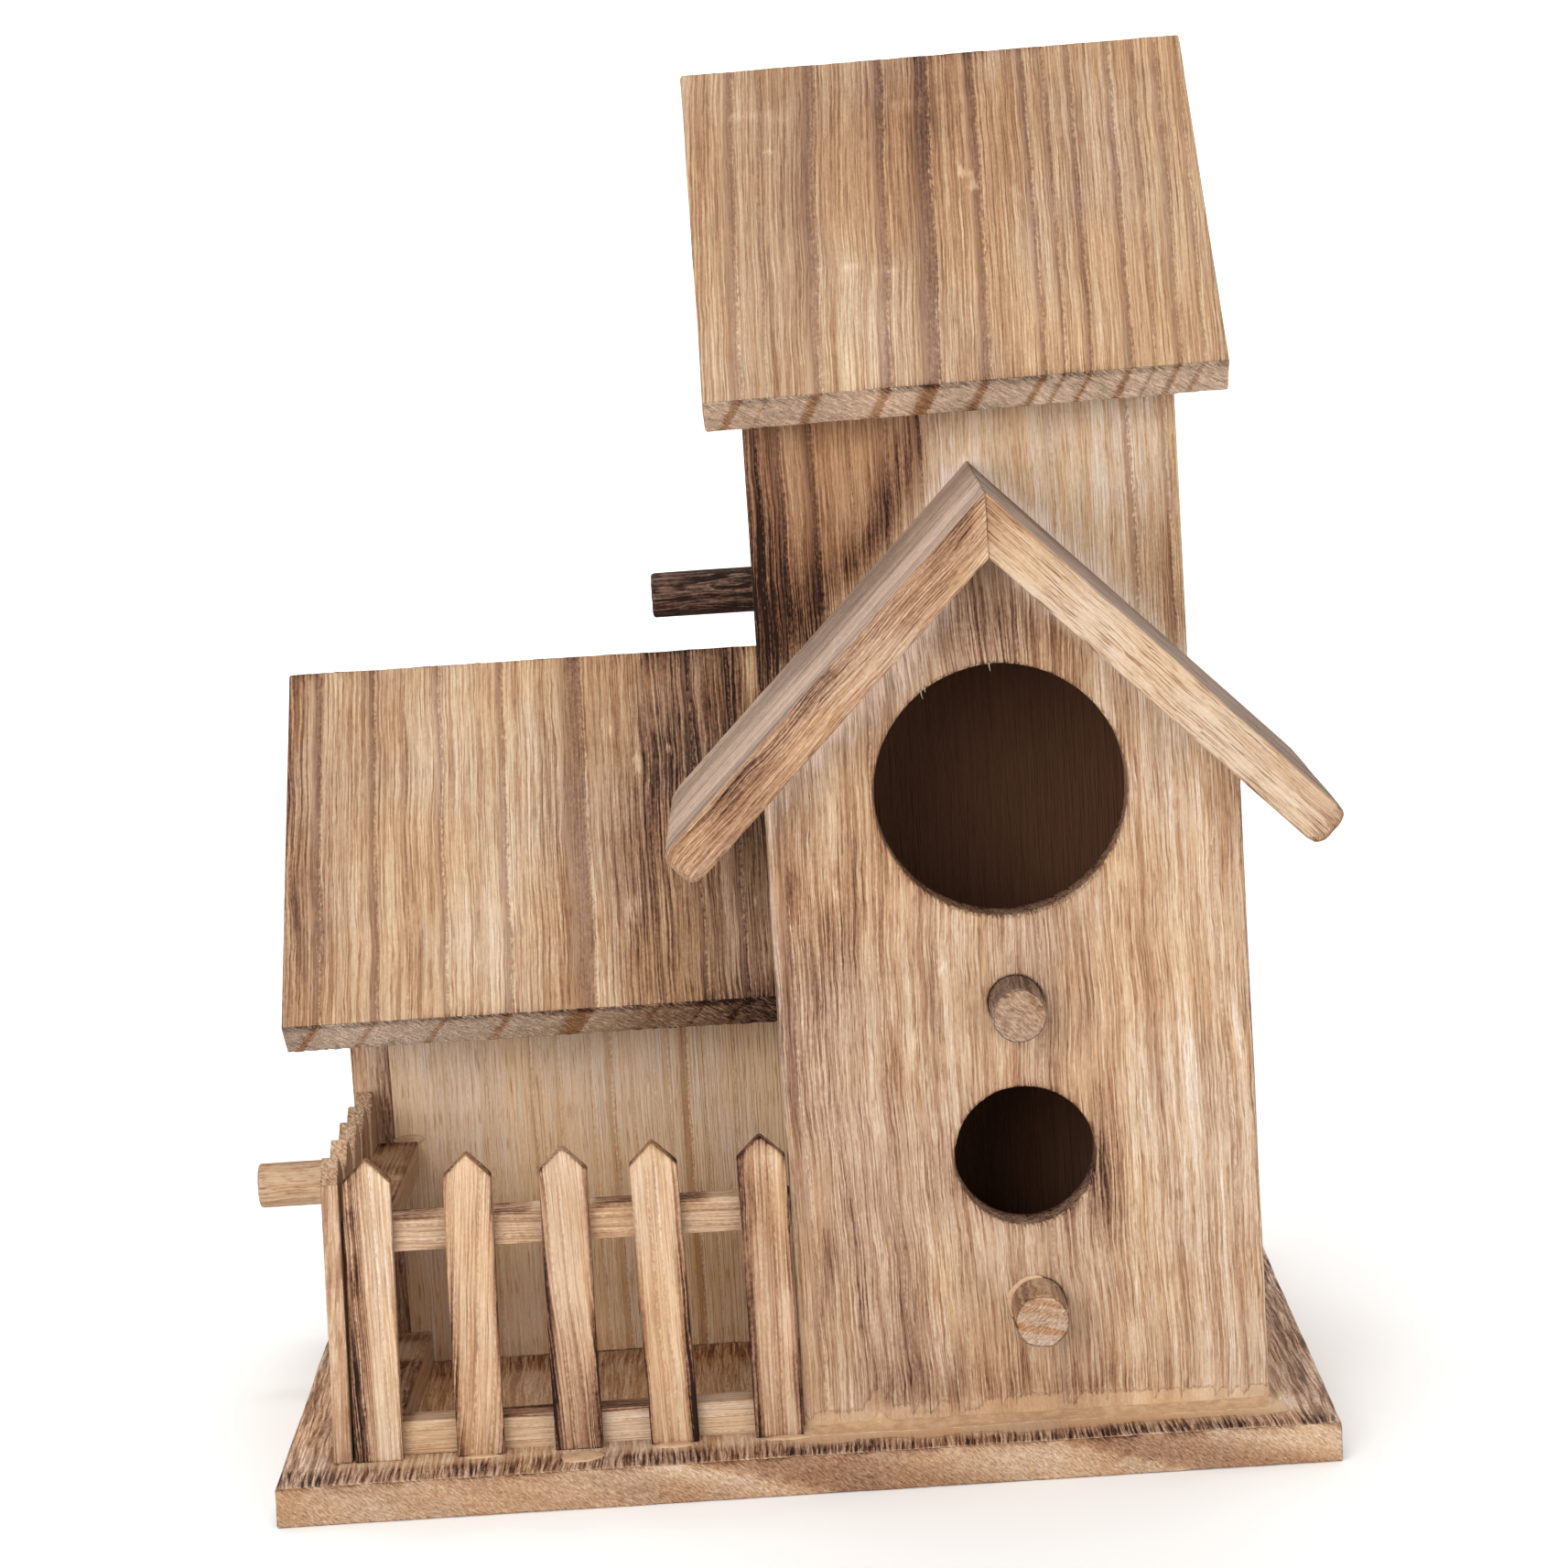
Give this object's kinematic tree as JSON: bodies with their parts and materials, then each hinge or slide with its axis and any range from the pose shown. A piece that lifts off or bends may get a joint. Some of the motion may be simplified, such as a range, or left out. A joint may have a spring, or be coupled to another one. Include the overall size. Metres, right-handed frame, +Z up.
{
  "type": "wooden birdhouse",
  "caption": "Charred-wood birdhouse with a gabled front house, a tower, a side annex, dowel perches and a picket-fenced yard on one base board.",
  "frame": {"origin": "centre of the base board's underside", "axes": "+Z up, -Y towards the front with the large entrance holes, +X to the right as seen from the front, so the fenced yard is on the -X side"},
  "size_m": [0.2077, 0.16, 0.2531],
  "materials": {
    "charred_wood": "torched and brushed, dry matt",
    "grey_wood": "sanded, greyish, dry matt",
    "pale_wood": "sanded, lightly torched, dry matt",
    "burnt_dowel": "charred dowel, dry matt",
    "pale_dowel": "turned dowel, dry matt"
  },
  "bodies": {
    "root": {"base_board": "charred_wood", "front_house_front_wall": "charred_wood", "front_house_left_wall": "charred_wood", "front_house_right_wall": "charred_wood", "gable_roof_left_board": "grey_wood", "gable_roof_right_board": "grey_wood", "upper_front_perch": "pale_dowel", "lower_front_perch": "pale_dowel", "tower_front_wall": "charred_wood", "tower_left_wall": "charred_wood", "tower_right_wall": "charred_wood", "tower_back_wall": "charred_wood", "tower_roof_front_board": "charred_wood", "tower_roof_back_board": "charred_wood", "tower_perch": "burnt_dowel", "annex_left_wall": "pale_wood", "annex_front_panel": "pale_wood", "annex_back_panel": "pale_wood", "annex_roof_front_board": "charred_wood", "annex_roof_back_board": "charred_wood", "annex_perch": "pale_dowel", "front_picket_1": "charred_wood", "front_picket_2": "charred_wood", "front_picket_3": "charred_wood", "front_picket_4": "charred_wood", "front_picket_5": "charred_wood", "side_picket_1": "charred_wood", "side_picket_2": "charred_wood", "side_picket_3": "charred_wood", "side_picket_4": "charred_wood", "side_picket_5": "charred_wood", "front_rail_top": "pale_wood", "front_rail_bottom": "pale_wood", "side_rail_top": "pale_wood", "side_rail_bottom": "pale_wood"}
  },
  "joints": []
}
